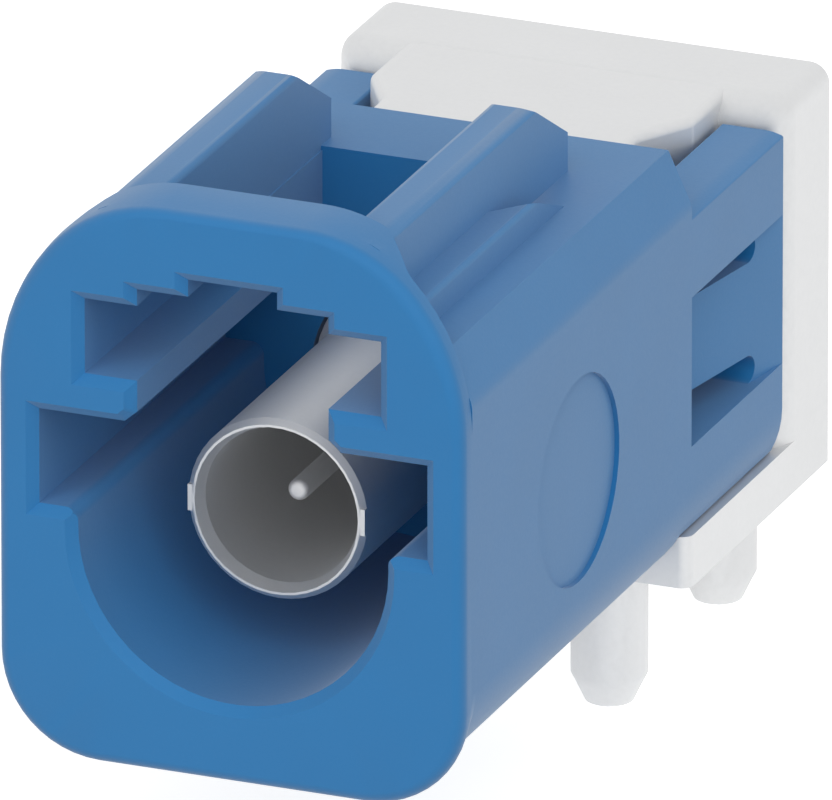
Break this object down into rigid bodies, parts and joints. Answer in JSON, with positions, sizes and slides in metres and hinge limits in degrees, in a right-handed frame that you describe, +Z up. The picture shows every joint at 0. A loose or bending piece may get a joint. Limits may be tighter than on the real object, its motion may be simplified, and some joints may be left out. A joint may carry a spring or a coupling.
{
  "type": "right-angle coaxial board connector",
  "caption": "Right-angle board connector: keyed blue plastic shroud round a small coaxial tube with a centre pin, on a pale metal shell with round ground posts.",
  "frame": {"origin": "on the board plane under the signal tail, at the centre of the ground posts' pattern", "axes": "+Z up from the board, -Y out of the mouth towards the mating plug, +X to the right seen from behind"},
  "size_m": [0.0096, 0.0193, 0.0141],
  "materials": {
    "housing_plastic": "fine satin, moulded",
    "shell_metal": "satin, pale cast and plated",
    "insulator_plastic": "satin",
    "contact_metal": "bright plated"
  },
  "bodies": {
    "root": {"housing": "housing_plastic", "shell": "shell_metal", "front_insulator": "insulator_plastic", "centre_contact": "contact_metal", "signal_tail": "contact_metal", "tail_insulator": "insulator_plastic", "rear_cover": "shell_metal"}
  },
  "joints": []
}
